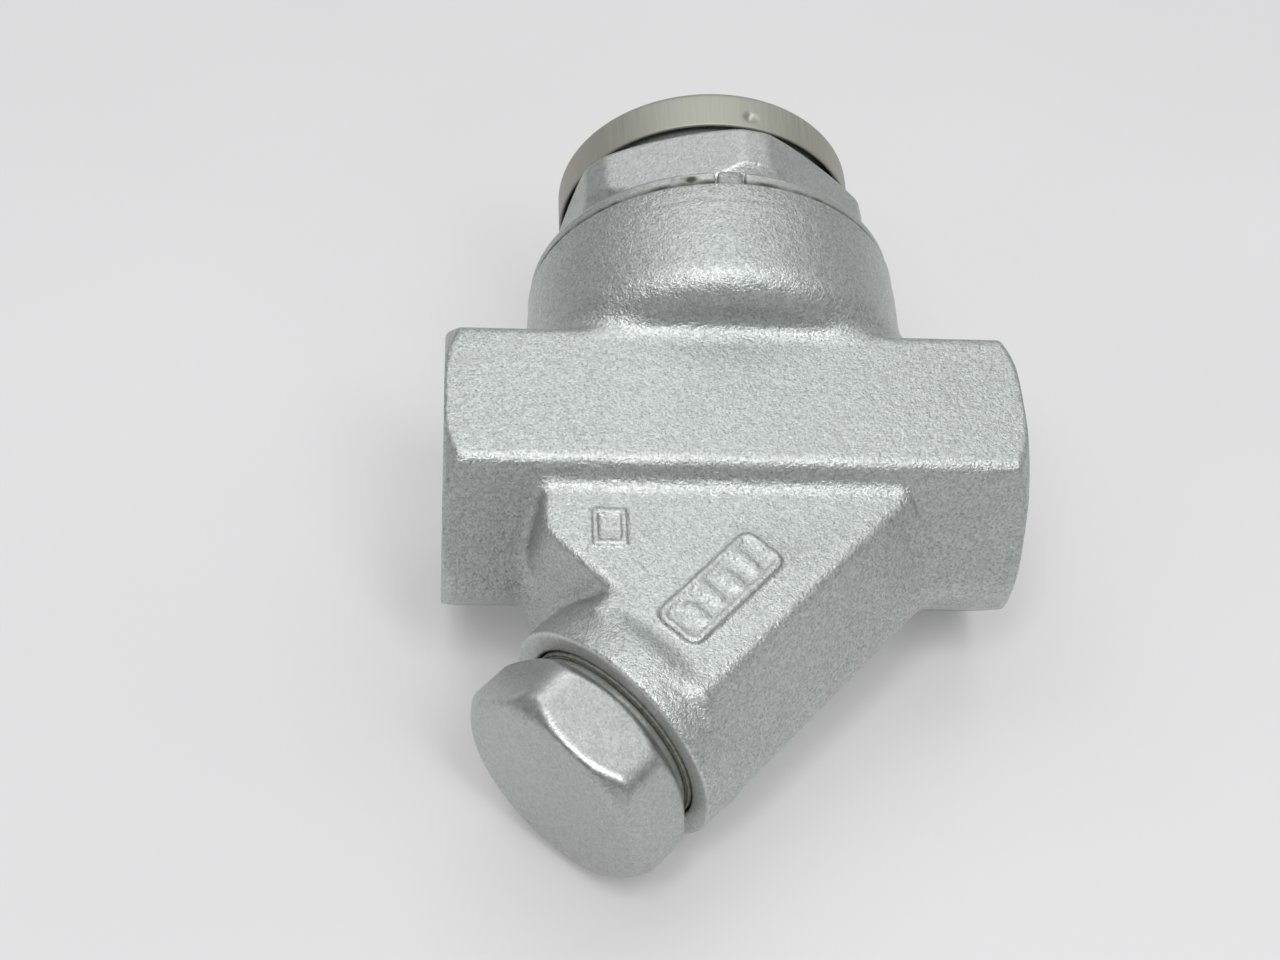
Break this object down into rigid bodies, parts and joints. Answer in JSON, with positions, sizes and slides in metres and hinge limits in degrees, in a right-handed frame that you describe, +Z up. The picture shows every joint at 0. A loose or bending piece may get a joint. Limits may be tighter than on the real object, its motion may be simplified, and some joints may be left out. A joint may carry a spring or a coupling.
{
  "type": "thermodynamic steam trap with y strainer",
  "caption": "Cast thermodynamic disc steam trap with an integral Y strainer, screwed hexagon ends, hexagon cover under a pressed steel cap, and hexagon strainer plug.",
  "frame": {"origin": "centre of the footprint, on the surface the trap lies on", "axes": "+X along the pipe towards the inlet, +Y along the bonnet axis towards the outer cap, +Z up as the trap lies on its side"},
  "size_m": [0.08, 0.1152, 0.0557],
  "materials": {
    "painted": "silver aluminium paint over a cast surface",
    "stainless": "brushed, warm grey",
    "valve_steel": "ground and lapped",
    "spring_steel": "dark spring steel",
    "bimetal": "dull bronze tone",
    "gasket": "matt graphite",
    "screen_steel": "perforated stainless sheet"
  },
  "bodies": {
    "body": {"body": "painted"},
    "module": {"valve_seat": "valve_steel", "inner_cover": "valve_steel", "module_clip": "spring_steel", "air_vent_ring": "bimetal", "inner_gasket": "gasket", "outer_gasket": "gasket", "locating_ring": "painted"},
    "disc": {"valve_disc": "valve_steel"},
    "cover": {"cover_nut": "painted"},
    "cap": {"insulation_cap": "stainless"},
    "screen": {"screen_tube": "screen_steel", "screen_sleeve": "screen_steel", "screen_top_ring": "screen_steel", "screen_bottom_ring": "screen_steel", "strainer_gasket": "gasket"},
    "plug": {"strainer_cap": "painted"}
  },
  "joints": [
    {"name": "module_lift", "type": "slide", "parent": "body", "child": "module", "axis": [0, 1, 0], "range_m": [0, 0.014]},
    {"name": "cover_turn", "type": "hinge", "parent": "module", "child": "cover", "pos_m": [0, 0.04711, 0.02785], "axis": [0, 1, 0], "range_deg": [0, 2520]},
    {"name": "disc_lift", "type": "slide", "parent": "module", "child": "disc", "axis": [0, 1, 0], "range_m": [0, 0.0012]},
    {"name": "cap_pull", "type": "slide", "parent": "cover", "child": "cap", "axis": [0, 1, 0], "range_m": [0, 0.012]},
    {"name": "screen_draw", "type": "slide", "parent": "body", "child": "screen", "axis": [-0.6947, -0.7193, 0], "range_m": [0, 0.04]},
    {"name": "plug_turn", "type": "hinge", "parent": "screen", "child": "plug", "pos_m": [-0.02086, -0.04293, 0.02785], "axis": [-0.6947, -0.7193, 0], "range_deg": [0, 7200]}
  ],
  "couplings": [
    {"joint": "module_lift", "follows": "cover_turn", "m_per_rad": 0.00031831},
    {"joint": "screen_draw", "follows": "plug_turn", "m_per_rad": 0.00031831}
  ]
}
